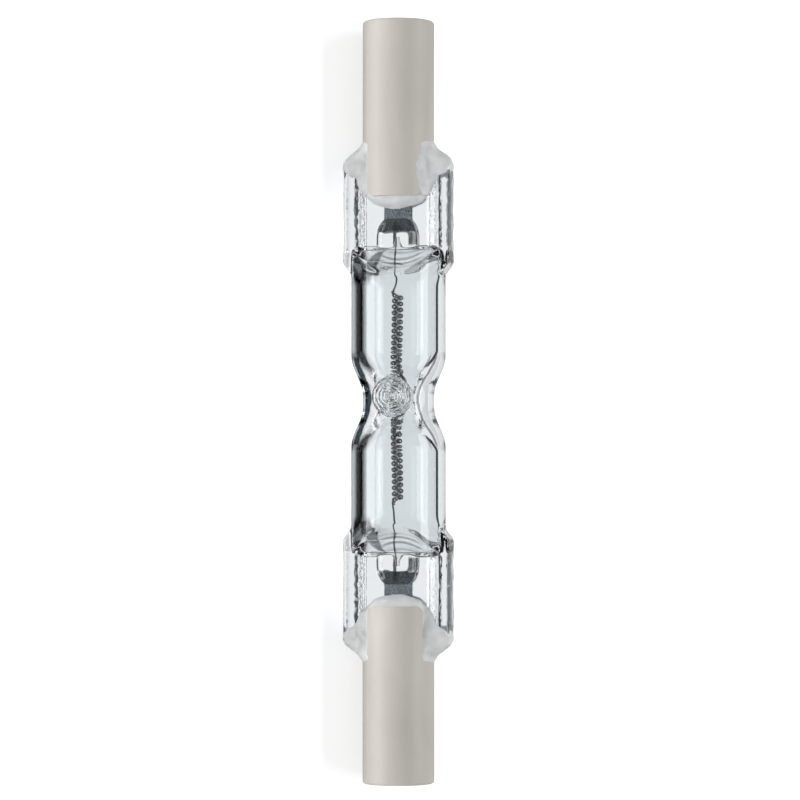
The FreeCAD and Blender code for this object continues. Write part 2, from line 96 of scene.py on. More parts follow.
class Shell:
    """Points and faces that grow part by part."""

    def __init__(self):
        self.points = []
        self.faces = []

    def add(self, points, faces):
        base = len(self.points)
        self.points += points
        self.faces += [tuple(base + corner for corner in face) for face in faces]


def mesh_of(name, points, faces):
    mesh = bpy.data.meshes.new(name)
    mesh.from_pydata([tuple(point) for point in points], [], faces)
    mesh.update()
    return mesh


def in_scene(name, data):
    """An object with this mesh, light or camera, in the scene."""
    thing = bpy.data.objects.new(name, data)
    bpy.context.scene.collection.objects.link(thing)
    return thing


def mark_sharp(mesh, degrees):
    """Edges that bend more than this stay sharp."""
    work = bmesh.new()
    work.from_mesh(mesh)
    for edge in work.edges:
        if len(edge.link_faces) == 2 and edge.calc_face_angle(0) > math.radians(degrees):
            edge.smooth = False
    work.to_mesh(mesh)
    work.free()


def as_object(name, points, faces, sharp_deg):
    """A smooth object from points in the lamp's millimetres."""
    mesh = mesh_of(name, points, faces)
    mesh.transform(LAY)
    mesh.validate()
    mesh.update()
    mesh.shade_smooth()
    mark_sharp(mesh, sharp_deg)
    return in_scene(name, mesh)


def tube_faces(rings, around, flip=False):
    """Quads between rings of points, one ring after another."""
    faces = []
    for ring in range(rings - 1):
        for step in range(around):
            a = ring * around + step
            b = ring * around + (step + 1) % around
            face = (a, a + around, b + around, b)
            faces.append(face[::-1] if flip else face)
    return faces


def closed_tube(rings, around, flip=False):
    """The same, and a fan at each end round one of the two points that follow the rings."""
    faces = tube_faces(rings, around, flip)
    for end in (0, 1):
        middle = rings * around + end
        for step in range(around):
            a = end * (rings - 1) * around + step
            b = end * (rings - 1) * around + (step + 1) % around
            faces.append((a, b, middle) if bool(end) == flip else (b, a, middle))
    return faces


def lathe(profile, around):
    """Rings of points from a profile of (x, r) turned about X."""
    points = []
    for x, r in profile:
        for step in range(around):
            angle = 2 * math.pi * step / around
            points.append((x, r * math.cos(angle), r * math.sin(angle)))
    return points


def facing_a(points):
    """The same points at the other end, turned half round Z."""
    return [(-x, -y, z) for x, y, z in points]


def kept_low(points):
    """The same points, none of them lower or wider than the lamp may lie."""
    points = np.array(points)
    c, s = math.cos(ROLL), math.sin(ROLL)
    wide = np.clip(points[:, 1] * c - points[:, 2] * s, -LYING_HALF_W, LYING_HALF_W)
    high = np.clip(points[:, 1] * s + points[:, 2] * c, -LYING_HALF_H, LYING_HALF_H)
    points[:, 1], points[:, 2] = wide * c + high * s, high * c - wide * s
    return points


def ripple(x, y, z, scale, seed):
    return noise.noise(Vector((x * scale + seed, y * scale, z * scale - seed)))


def eased(share):
    """A share from 0 to 1 with a soft start and a soft end."""
    return share * share * (3 - 2 * share)


def step_up(value, low, high):
    return eased(min(max((value - low) / (high - low), 0), 1))


def half_wave(share):
    return (1 - math.cos(math.pi * min(max(share, 0), 1))) / 2


def soft_max(one, other, blend):
    return 0.5 * (one + other + np.sqrt((one - other) ** 2 + blend * blend))


def soft_min(one, other, blend):
    return 0.5 * (one + other - np.sqrt((one - other) ** 2 + blend * blend))


def averaged(place, reach, places, sizes):
    """A table's size at a place, averaged over a short reach on both sides of it."""
    near = np.linspace(place - reach, place + reach, 11)
    return float(np.interp(near, places, sizes).mean())


def both_ways(*stretches):
    """Places along the whole lamp, from (start, stop, step) on the half towards +X."""
    half = []
    for start, stop, step in stretches:
        count = max(1, round((stop - start) / step))
        half += [start + (stop - start) * k / count for k in range(count)]
    half.append(stretches[-1][1])
    return [-s for s in reversed(half[1:])] + half


# Envelope, outside. A place is given by s, its distance from the middle of the lamp.

QUARTER = 46
FINE_STEPS = 400
# Places, and how far from the axis the jaws of the press left the glass there
JAW_AT = (12.0, 12.5, 13.0, 13.5, 14.0, 14.4, 14.8, 15.1, 15.35, SHOULDER_END, 20.0)
JAW_HEIGHT = (5.0, 4.86, 4.68, 4.43, 4.1, 3.75, 3.28, 2.8, 2.2, SEAL_HALF_T, SEAL_HALF_T)
SLAB_START_HALF_W = 4.0
RAIL_ROUND = 0.45


def outer_radius(s):
    return NECK_R + (TUBE_R - NECK_R) * half_wave((s - WAIST_HALF) / (NECK_HALF - WAIST_HALF))


def jaw_height(s):
    reach = 0.12 + 0.2 * (1 - step_up(s, 14.6, 15.3))
    return averaged(s, reach, JAW_AT, JAW_HEIGHT)


def slab_half_width(s):
    return SLAB_START_HALF_W + (SEAL_HALF_W - SLAB_START_HALF_W) * step_up(s, 12.2, 14.5)


def rib_height(s, y):
    """The rib over the lead: a plateau with a rounded end, and slopes down to the web."""
    def outside(half_w, end, corner):
        across = np.maximum(np.abs(y) - (half_w - corner), 0)
        along = max(s - (end - corner), 0)
        return np.hypot(across, along) - corner
    from_top = np.maximum(outside(1.5, 17.6, 0.8), 0)
    to_foot = np.maximum(-outside(2.2, 19.0, 1.5), 0)
    share = from_top / np.maximum(from_top + to_foot, 1e-9)
    share = np.where(to_foot <= 0, 1.0, share)
    return WEB_HALF_T + (RIB_HALF_T - WEB_HALF_T) * (1 - eased(share))


def resampled(fine):
    """A quarter's points at even distances along it."""
    run = np.concatenate([[0], np.cumsum(np.hypot(*np.diff(fine, axis=0).T))])
    at = np.linspace(0, run[-1], QUARTER + 1)
    return np.stack([np.interp(at, run, fine[:, 0]), np.interp(at, run, fine[:, 1])], 1)


def shoulder_quarter(s):
    """The tube, flattened more and more, and the slab that swells out of its sides."""
    angles = np.linspace(0, math.pi / 2, FINE_STEPS)
    c, sn = np.maximum(np.cos(angles), 1e-6), np.maximum(np.sin(angles), 1e-6)
    pressed = step_up(s, 12.3, 13.2)
    tube = soft_min(np.full(FINE_STEPS, TUBE_R), jaw_height(s) / sn, 0.12 * pressed)
    slab = soft_min(slab_half_width(s) / c, SEAL_HALF_T / sn, 0.25)
    reach = soft_max(tube, slab, 0.4 * pressed * (1 - step_up(s, 14.4, SHOULDER_END)))
    reach += (SEAL_HALF_T - reach[-1]) * step_up(s, 15.3, SHOULDER_END) * angles / angles[-1]
    return resampled(np.stack([reach * np.cos(angles), reach * np.sin(angles)], 1))


def seal_quarter(s):
    """A rail with its rounded edge, the slope down to the web, and the rib."""
    corner_y, corner_z = slab_half_width(s) - RAIL_ROUND, SEAL_HALF_T - RAIL_ROUND
    edge = [(corner_y + RAIL_ROUND, corner_z * t) for t in np.linspace(0, 1, 24)]
    for angle in np.linspace(0, math.pi / 2, 24)[1:]:
        edge.append((corner_y + RAIL_ROUND * math.cos(angle), corner_z + RAIL_ROUND * math.sin(angle)))
    y = np.linspace(corner_y, 0, 200)[1:]
    fall = np.clip((CHANNEL_HALF_W - y) / (CHANNEL_HALF_W - WEB_HALF_W), 0, 1)
    crest, foot = eased(np.clip(fall / 0.24, 0, 1)), eased(np.clip((fall - 0.76) / 0.24, 0, 1))
    depth = (SEAL_HALF_T - WEB_HALF_T) * step_up(s, SHOULDER_END, 15.95)
    z = SEAL_HALF_T - depth * (0.2 * fall + 0.42 * crest + 0.38 * foot)
    z = np.maximum(z, rib_height(s, y))
    return resampled(np.concatenate([edge, np.stack([y, z], 1)]))


def quarter_section(s):
    """Points of a section's first quarter, from the edge at +Y to the face at +Z."""
    if s > SHOULDER_END:
        return seal_quarter(s)
    if s > TUBE_END:
        return shoulder_quarter(s)
    angles = np.linspace(0, math.pi / 2, QUARTER + 1)
    return outer_radius(s) * np.stack([np.cos(angles), np.sin(angles)], 1)


def outside_rings(xs):
    points = []
    for x in xs:
        quarter = [(y, z) for y, z in quarter_section(abs(x))]
        back = quarter[-2:0:-1]
        ring = quarter + [(-y, z) for y, z in back]
        ring += [(-y, -z) for y, z in quarter] + [(y, -z) for y, z in back]
        points += [(x, y, z) for y, z in ring]
    return np.array(points)


# The exhaust tip: out to TIP_FIELD from its middle, points slide up its wall and over its dome
TIP_R = 2.02
TIP_TOP = 5.42
TIP_RIM = 4.05
TIP_FIELD = 3.1
DOME_SHARE = 0.5
WALL_SHARE = 0.7
RING_PITCH = 0.42


def neck_height(x, y):
    radius = np.array([outer_radius(abs(float(place))) for place in x])
    return np.sqrt(np.maximum(radius ** 2 - y ** 2, 0.05))


def melt_rings(distance):
    """The last of the melt ran together in rings."""
    fade = np.clip((TIP_R - distance) / 0.4, 0, 1)
    return 0.022 * np.sin(2 * math.pi * distance / RING_PITCH) * fade


def curve(t, start, bend, stop):
    return (1 - t) ** 2 * start + 2 * t * (1 - t) * bend + t * t * stop


def raise_tip(points):
    away = np.hypot(points[:, 0] - TIP_X, points[:, 1])
    near = (points[:, 2] > 0) & (away < TIP_FIELD)
    distance = np.maximum(away[near], 1e-6)
    ux, uy = (points[near, 0] - TIP_X) / distance, points[near, 1] / distance
    foot_z = neck_height(TIP_X + ux * 2.55, uy * 2.55) + 0.12
    bend_z = neck_height(TIP_X + ux * 2.4, uy * 2.4) + 0.02
    rim_z = neck_height(TIP_X + ux * TIP_FIELD, uy * TIP_FIELD)
    share = distance / TIP_FIELD
    over = np.minimum(share / DOME_SHARE, 1) * math.pi / 2
    down = np.clip((share - DOME_SHARE) / (WALL_SHARE - DOME_SHARE), 0, 1)
    out = np.clip((share - WALL_SHARE) / (1 - WALL_SHARE), 0, 1)
    dome_d = TIP_R * np.sin(over)
    dome_z = TIP_RIM + (TIP_TOP - TIP_RIM) * np.cos(over) + melt_rings(dome_d)
    wall_z = TIP_RIM + (foot_z - TIP_RIM) * down
    parts = [share <= DOME_SHARE, share > WALL_SHARE]
    reach = np.select(parts, [dome_d, curve(out, TIP_R, TIP_R + 0.1, TIP_FIELD)], TIP_R)
    height = np.select(parts, [dome_z, curve(out, foot_z, bend_z, rim_z)], wall_z)
    points[near] = np.stack([TIP_X + ux * reach, uy * reach, height], 1)


def add_waves(points):
    """Pressed quartz is never flat: slow waves run over the seals."""
    for index, (x, y, z) in enumerate(points.tolist()):
        s = abs(x)
        seal = step_up(s, 15.4, 16.6)
        shoulder = step_up(s, 14.8, 15.4) * (1 - seal)
        size = (0.07 * seal + 0.02 * shoulder) * (1 - step_up(s, 24.0, 24.5))
        from_axis = math.hypot(y, z)
        if size == 0 or from_axis < 1e-6:
            continue
        wave = 0.7 * ripple(x, y * 0.6, z, 0.8, 3.1) + 0.45 * ripple(x * 1.4, y, z, 1.9, 7.7)
        pull = size * (wave - 0.5)
        points[index, 1] += pull * y / from_axis * (0.9 if abs(y) > 4.6 else 0.2)
        points[index, 2] += pull * z / from_axis * (0.35 if abs(y) < 3.2 and s > 19.2 else 1)


outer_xs = both_ways(
    (0, 3.2, 0.075), (3.2, 5.2, 0.14), (5.2, TUBE_END, 0.5), (TUBE_END, 16.2, 0.07), (16.2, 19.2, 0.1),
    (19.2, 24.3, 0.2), (24.3, SEAL_END, 0.1),
)
outer = outside_rings(outer_xs)
raise_tip(outer)
add_waves(outer)
glass_shell = Shell()
glass_shell.add(
    [tuple(point) for point in kept_low(outer)] + [(-SEAL_END, 0, 0), (SEAL_END, 0, 0)],
    closed_tube(len(outer_xs), 4 * QUARTER, flip=True),
)

# Envelope, inside: the bore with its throat, a dome and a pocket round the lead at each end

BORE_AROUND = 72
BORE_END_START = 11.8
# Place along the lamp, half width and half height of the bore where it closes
BORE_END = [
    (11.6, 3.75, 3.75), (12.0, 3.76, 3.7), (12.5, 3.8, 3.5), (13.0, 3.84, 3.15), (13.5, 3.86, 2.7),
    (14.0, 3.86, 2.2), (14.5, 3.78, 1.68), (14.85, 3.4, 1.22), (15.1, 2.6, 0.88), (15.3, 1.6, 0.62),
    (15.5, 1.05, 0.48), (15.85, 0.55, 0.4), (16.4, 0.25, 0.25), (POCKET_END, 0.2, 0.2),
]


def bore_half(s):
    """Half width and half height of the bore."""
    if s <= BORE_END_START:
        share = half_wave((s - WAIST_HALF) / (THROAT_HALF - WAIST_HALF))
        radius = THROAT_R + (TUBE_BORE_R - THROAT_R) * share
        return radius, radius
    places, half_widths, half_heights = zip(*BORE_END)
    reach = 0.12 + 0.2 * (1 - step_up(s, 14.2, 14.9))
    return averaged(s, reach, places, half_widths), averaged(s, reach, places, half_heights)


def bore_rings(xs):
    points = []
    for x in xs:
        s = abs(x)
        half_w, half_h = bore_half(s)
        # The middle of the bore closes first, and its sides run further out
        hollow = 0.3 * step_up(s, 12.3, 14.3) * (1 - step_up(s, 14.9, 15.4))
        for angle in np.linspace(0, 2 * math.pi, BORE_AROUND, endpoint=False):
            y = half_w * math.cos(angle)
            back = hollow * (1 - (y / 3.85) ** 2)
            points.append((math.copysign(s - back, x), y, half_h * math.sin(angle)))
    return points


bore_xs = both_ways(
    (0, THROAT_HALF, 0.13), (THROAT_HALF, BORE_END_START, 0.8), (BORE_END_START, 14.4, 0.13),
    (14.4, 15.7, 0.05), (15.7, POCKET_END, 0.12),
)
glass_shell.add(
    bore_rings(bore_xs) + [(-POCKET_END, 0, 0), (POCKET_END, 0, 0)],
    closed_tube(len(bore_xs), BORE_AROUND),
)

# What is left of the bore of the tip, a drop-shaped space under its roof
DROP_AROUND = 40
DROP_RINGS = 24
DROP_R = 0.42
drop = []
for ring in range(1, DROP_RINGS):
    share = ring / DROP_RINGS
    radius = DROP_R * math.sin(math.pi * share ** 0.8) ** 0.6
    for step in range(DROP_AROUND):
        angle = 2 * math.pi * step / DROP_AROUND
        drop.append((TIP_X + radius * math.cos(angle), radius * math.sin(angle), 2.0 + 1.7 * share))
glass_shell.add(
    drop + [(TIP_X, 0, 1.98), (TIP_X, 0, 3.72)],
    closed_tube(DROP_RINGS - 1, DROP_AROUND),
)
envelope = as_object("quartz_glass", glass_shell.points, glass_shell.faces, sharp_deg=80)


# Filament: fine wire wound into a coil, and that coil wound again

FIRST_ANGLE = math.pi
COIL_START = COIL_SHIFT - COIL_LEN / 2
COIL_STOP = COIL_SHIFT + COIL_LEN / 2
STEPS_A_TURN = 48
COIL_END_LEN = 0.45
PRIMARY_PITCH = 0.2
PRIMARY_R = 0.185
FINE_STEPS_A_TURN = 11
FINE_WIRE_R = 0.047
LEG_R = 0.095
LEAD_Y = -math.sqrt(COIL_R ** 2 - 0.2 ** 2)
LEAD_Z = -0.2
# Bends of the legs along the lamp and across it
LEG_A = [
    (-10.7, -0.49), (-11.0, -0.60), (-11.3, -0.62), (-11.7, -0.48), (-12.1, -0.37), (-12.6, -0.28),
    (-13.2, -0.26), (-14.0, -0.31), (-14.6, LEAD_Y),
]
LEG_B = [
    (9.9, -0.49), (10.15, -0.56), (10.5, -0.62), (10.9, -0.58), (11.4, -0.52), (12.2, -0.5),
    (13.2, -0.48), (14.0, -0.42), (14.6, LEAD_Y),
]


def carried(path, first):
    """Two directions square to a path, carried along it without a twist."""
    tangent = np.gradient(path, axis=0)
    tangent /= np.linalg.norm(tangent, axis=1)[:, None]
    normal = np.empty_like(path)
    last = np.array(first)
    for index, along in enumerate(tangent):
        last = last - along * last.dot(along)
        last /= np.linalg.norm(last)
        normal[index] = last
    return normal, np.cross(tangent, normal)


def thread(path, radius, sides):
    """Points and faces of a round wire along a path of points."""
    path = np.array(path)
    normal, side = carried(path, np.cross(path[1] - path[0], (0.3, 0.5, 0.8)))
    points = []
    for index, middle in enumerate(path):
        for step in range(sides):
            angle = 2 * math.pi * step / sides
            spoke = math.cos(angle) * normal[index] + math.sin(angle) * side[index]
            points.append(tuple(middle + radius * spoke))
    faces = tube_faces(len(path), sides, flip=True)
    faces.append(tuple(range(sides - 1, -1, -1)))
    faces.append(tuple(range(len(points) - sides, len(points))))
    return points, faces


def soften(path, rounds):
    """Round off a path's corners, since wire can't turn a sharp one. Its ends stay."""
    for _ in range(rounds):
        path[1:-1] = 0.5 * path[1:-1] + 0.25 * (path[:-2] + path[2:])


def coil_path():
    """The line that the primary coil is wound on, from leg to leg."""
    path = []
    for k in range(12):
        path.append((COIL_START - COIL_END_LEN * (1 - k / 12), -0.60 + 0.115 * k / 12, 0))
    for k in range(COIL_TURNS * STEPS_A_TURN + 1):
        share = k / STEPS_A_TURN / COIL_TURNS
        angle = FIRST_ANGLE + 2 * math.pi * COIL_TURNS * share
        sag = -0.10 - 0.18 * math.sin(math.pi * share) ** 2
        path.append((COIL_START + COIL_LEN * share, sag + COIL_R * math.cos(angle), COIL_R * math.sin(angle)))
    for k in range(12):
        path.append((COIL_STOP + COIL_END_LEN * (k + 1) / 12, -0.485 - 0.08 * k / 12, 0))
    path = np.array(path)
    soften(path[:26], 10)
    soften(path[-26:], 10)
    return path


def wound(path):
    """The fine wire's own path, wound round the line."""
    run = np.concatenate([[0], np.cumsum(np.linalg.norm(np.diff(path, axis=0), axis=1))])
    at = np.linspace(0, run[-1], int(run[-1] / PRIMARY_PITCH * FINE_STEPS_A_TURN))
    spine = np.stack([np.interp(at, run, path[:, axis]) for axis in range(3)], 1)
    normal, side = carried(spine, (0.0, math.cos(FIRST_ANGLE), math.sin(FIRST_ANGLE)))
    turn = (2 * math.pi * at / PRIMARY_PITCH)[:, None]
    return spine + PRIMARY_R * (np.cos(turn) * normal + np.sin(turn) * side)


def leg_path(bends):
    leg_x, leg_y = zip(*bends)
    at = np.linspace(0, len(bends) - 1, 60)
    bend_numbers = range(len(bends))
    path = np.stack([
        np.interp(at, bend_numbers, leg_x),
        np.interp(at, bend_numbers, leg_y),
        LEAD_Z * np.linspace(0, 1, 60),
    ], 1)
    soften(path, 6)
    return path


def lead_shape(sign):
    """The lead's bare end, its swelling in the glass and the flattened weld on the foil."""
    places = np.concatenate([np.linspace(14.2, 15.2, 8), np.linspace(15.35, 18.2, 36)])
    points, faces = thread([(sign * place, LEAD_Y, LEAD_Z) for place in places], 1.0, 16)
    shaped = []
    for x, y, z in points:
        radius = 0.1 + 0.07 * step_up(abs(x), 15.6, 16.2)
        flat = 1 - 0.2 * step_up(abs(x), 17.3, 17.8)
        shaped.append((x, LEAD_Y + (y - LEAD_Y) * radius, LEAD_Z + (z - LEAD_Z) * radius * flat))
    return shaped, faces


filament_shell = Shell()
filament_shell.add(*thread(wound(coil_path()), FINE_WIRE_R, 4))
filament_shell.add(*thread(leg_path(LEG_A), LEG_R, 12))
filament_shell.add(*thread(leg_path(LEG_B), LEG_R, 12))
lead_a = as_object("lead_a", *lead_shape(-1), sharp_deg=75)
lead_b = as_object("lead_b", *lead_shape(1), sharp_deg=75)
filament = as_object("coiled_coil", filament_shell.points, filament_shell.faces, sharp_deg=75)


# Caps: a turned sleeve with a recess, and two tongues

CAP_AROUND = 96
RIM_ROUND = 0.3
RECESS_R = 2.1
SEAT_R = 1.65
SHANK_HOLE_R = 0.85
LEAD_HOLE_R = 0.5
TONGUE_HALF_W = 2.85
TONGUE_BED = 1.25
TONGUE_ROUND = 0.9
TONGUE_CORNER = 0.75


def sleeve():
    rim_r, rim_x = CAP_R - RIM_ROUND, CAP_END - RIM_ROUND
    profile = [(SLOT_FLOOR, LEAD_HOLE_R), (SLOT_FLOOR, CAP_R)]
    for angle in np.linspace(0, math.pi / 2, 7):
        profile.append((rim_x + RIM_ROUND * math.sin(angle), rim_r + RIM_ROUND * math.cos(angle)))
    profile += [(CAP_END, RECESS_R + 0.1), (CAP_END - 0.1, RECESS_R)]
    profile += [(CONTACT_FACE, RECESS_R), (CONTACT_FACE, SEAT_R), (36.4, SEAT_R)]
    profile += [(36.4, SHANK_HOLE_R), (34.2, SHANK_HOLE_R), (34.2, LEAD_HOLE_R)]
    stretched = []
    for (x1, r1), (x2, r2) in zip(profile, profile[1:] + profile[:1]):
        pieces = max(1, int(abs(x2 - x1) / 1.0))
        for k in range(pieces):
            stretched.append((x1 + (x2 - x1) * k / pieces, r1 + (r2 - r1) * k / pieces))
    stretched.append(stretched[0])
    return lathe(stretched, CAP_AROUND), tube_faces(len(stretched), CAP_AROUND, flip=True)


def tongue_row(x, front):
    """Points round a tongue at one place: over its face, and back across its bed."""
    near_end = max(0.0, 1 - (x - TONGUE_END) / TONGUE_ROUND)
    half_w = TONGUE_HALF_W - TONGUE_CORNER * (1 - math.sqrt(max(0.0, 1 - near_end ** 2)))
    widest = math.asin(half_w / CAP_R)
    row = [
        (x, CAP_R * math.sin(angle), front * CAP_R * math.cos(angle))
        for angle in np.linspace(-widest, widest, 33)
    ]
    return row + [(x, half_w * (1 - 2 * k / 8), front * TONGUE_BED) for k in range(9)]


def tongue(front):
    straight_start = TONGUE_END + TONGUE_ROUND
    places = [TONGUE_END + TONGUE_ROUND * (1 - math.cos(k / 8 * math.pi / 2)) for k in range(9)]
    places += [straight_start + (SLOT_FLOOR - straight_start) * k / 6 for k in range(1, 7)]
    rows = [tongue_row(x, front) for x in places]
    size = len(rows[0])
    faces = tube_faces(len(rows), size, flip=front > 0)
    first = tuple(range(size))
    last = tuple((len(rows) - 1) * size + k for k in range(size))
    faces.append(first if front > 0 else first[::-1])
    faces.append(last[::-1] if front > 0 else last)
    return [point for row in rows for point in row], faces


cap_shell = Shell()
cap_shell.add(*sleeve())
cap_shell.add(*tongue(1))
cap_shell.add(*tongue(-1))
cap_b = as_object("cap_b", cap_shell.points, cap_shell.faces, sharp_deg=40)
cap_a = as_object("cap_a", facing_a(cap_shell.points), cap_shell.faces, sharp_deg=40)


# Cement: lumps run together, with the seal pressed out of them

VOXEL = 0.13
LOOSE_FACES = 400
# Ovals in the slot, under and past the tongues: place, half width, half thickness, squareness
SLOT_FILL = [
    (19.75, 0.9, 1.2, 2), (19.95, 1.9, 1.6, 2), (20.3, 2.7, 2.3, 2), (20.8, 3.2, 2.9, 2),
    (21.6, 3.42, 3.2, 2), (22.6, 3.48, 3.4, 2), (25.0, 3.55, 3.5, 2), (26.4, 3.55, 3.5, 2),
]
# Beside the tongues, over the end of the seal, and drawn in to the cap
SEAL_COAT = [
    (20.6, 2.4, 1.2, 3), (21.0, 3.6, 1.6, 3), (21.6, 4.2, 1.95, 3), (22.3, 4.6, 2.05, 3),
    (22.9, 4.9, 2.1, 3.5), (23.3, 5.5, 2.1, 5), (24.0, 5.62, 2.15, 6), (24.5, 5.62, 2.15, 6),
    (24.9, 5.5, 2.3, 3.5), (25.4, 5.0, 2.65, 2.4), (25.9, 4.3, 3.15, 2), (26.3, 3.95, 3.45, 2),
    (26.7, 3.72, 3.45, 2), (26.9, 3.5, 3.3, 2),
]
# Place along the lamp, and the angle from the front at which a smear on the cap's face begins
WIDE_SMEAR = [(21.2, 33), (24.4, 35), (25.6, 42), (26.4, 58), (27.0, 86)]
SLIM_SMEAR = [(21.0, 60), (23.5, 66), (25.4, 76), (26.5, 92)]
SMEAR_END = 96
SMEAR_ROWS = 18
SMEAR_AROUND = 24


def loft(rows):
    """Points and faces of a closed lump through rows of points."""
    size = len(rows[0])
    faces = tube_faces(len(rows), size, flip=True)
    faces.append(tuple(range(size)))
    faces.append(tuple((len(rows) - 1) * size + k for k in range(size))[::-1])
    return [point for row in rows for point in row], faces


def oval(x, half_y, half_z, power, steps=48):
    row = []
    for k in range(steps):
        angle = 2 * math.pi * k / steps
        c, s = math.cos(angle), math.sin(angle)
        y = half_y * math.copysign(abs(c) ** (2 / power), c)
        z = half_z * math.copysign(abs(s) ** (2 / power), s)
        row.append((x, y, z))
    return row


def smear(x_from, x_to, side, edge):
    """Rows of a smear on the front of the cap, on one side of it."""
    rows = []
    for k in range(SMEAR_ROWS):
        x = x_from + (x_to - x_from) * k / (SMEAR_ROWS - 1)
        near = math.radians(np.interp(x, *zip(*edge)))
        far = math.radians(SMEAR_END)
        fade = math.sin(math.pi * (k + 0.5) / SMEAR_ROWS) ** 0.35
        middle, half_arc = (near + far) / 2, (far - near) / 2 * fade
        row = []
        for step in range(SMEAR_AROUND):
            turn = 2 * math.pi * step / SMEAR_AROUND
            angle = middle + half_arc * math.cos(turn)
            reach = 3.55 + 0.33 * fade * math.sin(turn)
            row.append((x, side * reach * math.sin(angle), reach * math.cos(angle)))
        rows.append(row if side > 0 else [row[-step] for step in range(SMEAR_AROUND)])
    return rows


def seal_block():
    """The seal's own shape without its rib, a little slimmer, to be cut out of the cement."""
    corners = [
        (SEAL_HALF_W, 1.2), (SEAL_HALF_W - 0.15, 1.55), (SEAL_HALF_W - 0.5, SEAL_HALF_T),
        (CHANNEL_HALF_W, SEAL_HALF_T), (WEB_HALF_W, WEB_HALF_T),
    ]
    ring = corners + [(-y, z) for y, z in reversed(corners)]
    ring += [(-y, -z) for y, z in corners] + [(y, -z) for y, z in reversed(corners)]
    rows = [[(x, y * 0.994, z * 0.985) for y, z in ring] for x in (19.0, SEAL_END - 0.02)]
    return loft(rows)


def evaluated(thing):
    graph = bpy.context.evaluated_depsgraph_get()
    return bpy.data.meshes.new_from_object(thing.evaluated_get(graph))


def roughened(mesh, seed, hand):
    """Waves over the lumps, and nothing below the surface that the lamp lies on."""
    for vertex in mesh.vertices:
        x, y, z = vertex.co
        wave = 0.10 * ripple(x, y, z, 0.8, seed) + 0.05 * ripple(x, y, z, 2.3, seed + 5)
        fade = 1 - step_up(x, 25.9, 26.5) * 0.7
        vertex.co += vertex.normal * wave * fade
    low = kept_low([(vertex.co.x, hand * vertex.co.y, vertex.co.z) for vertex in mesh.vertices])
    for vertex, (x, y, z) in zip(mesh.vertices, low):
        vertex.co = (x, hand * y, z)


def without_slivers(mesh):
    """The mesh without the loose slivers that a cut leaves along its edge."""
    work = bmesh.new()
    work.from_mesh(mesh)
    bmesh.ops.remove_doubles(work, verts=work.verts, dist=0.002)
    bmesh.ops.dissolve_degenerate(work, edges=work.edges, dist=0.002)
    waiting = set(work.faces)
    loose = []
    while waiting:
        island = [waiting.pop()]
        for face in island:
            neighbours = {other for edge in face.edges for other in edge.link_faces} & waiting
            waiting -= neighbours
            island += neighbours
        if len(island) < LOOSE_FACES:
            loose += island
    bmesh.ops.delete(work, geom=loose, context="FACES")
    for _ in range(3):
        crowded = [edge for edge in work.edges if len(edge.link_faces) > 2]
        extra = {min(edge.link_faces, key=lambda face: face.calc_area()) for edge in crowded}
        bmesh.ops.delete(work, geom=list(extra), context="FACES")
        open_edges = [edge for edge in work.edges if len(edge.link_faces) == 1]
        bmesh.ops.holes_fill(work, edges=open_edges, sides=0)
        bmesh.ops.triangulate(work, faces=[face for face in work.faces if len(face.verts) > 4])
    bmesh.ops.triangulate(work, faces=work.faces)
    bmesh.ops.recalc_face_normals(work, faces=work.faces)
    work.to_mesh(mesh)
    work.free()


def cement(name, seed, other_end, smears):
    """The cement of one end, drawn at +X. With other_end, it is turned round to -X."""
    lump_shell = Shell()
    lump_shell.add(*loft([oval(*row) for row in SLOT_FILL]))
    lump_shell.add(*loft([oval(*row) for row in SEAL_COAT]))
    for x_from, x_to, side, edge in smears:
        lump_shell.add(*loft(smear(x_from, x_to, side, edge)))
    lump = in_scene("lump", mesh_of("lump", lump_shell.points, lump_shell.faces))
    remesh = lump.modifiers.new("remesh", "REMESH")
    remesh.mode = "VOXEL"
    remesh.voxel_size = VOXEL
    lump.modifiers.new("soft", "SMOOTH").iterations = 6
    mesh = evaluated(lump)
    roughened(mesh, seed, -1 if other_end else 1)
    lump.modifiers.clear()
    lump.data = mesh
    block = in_scene("block", mesh_of("block", *seal_block()))
    cut = lump.modifiers.new("cut", "BOOLEAN")
    cut.operation = "DIFFERENCE"
    cut.object = block
    cut.solver = "EXACT"
    mesh = evaluated(lump)
    bpy.data.objects.remove(block)
    bpy.data.objects.remove(lump)
    without_slivers(mesh)
    if other_end:
        mesh.transform(Matrix.Rotation(math.pi, 4, "Z"))
    mesh.transform(LAY)
    mesh.update()
    mesh.shade_smooth()
    mark_sharp(mesh, 50)
    return in_scene(name, mesh)


cement_a = cement("cement_a", 2.3, True, [(21.1, 26.9, -1, WIDE_SMEAR), (21.0, 25.9, 1, SLIM_SMEAR)])
cement_b = cement("cement_b", 8.9, False, [(21.0, 26.0, 1, SLIM_SMEAR), (21.3, 25.9, -1, SLIM_SMEAR)])


# Materials

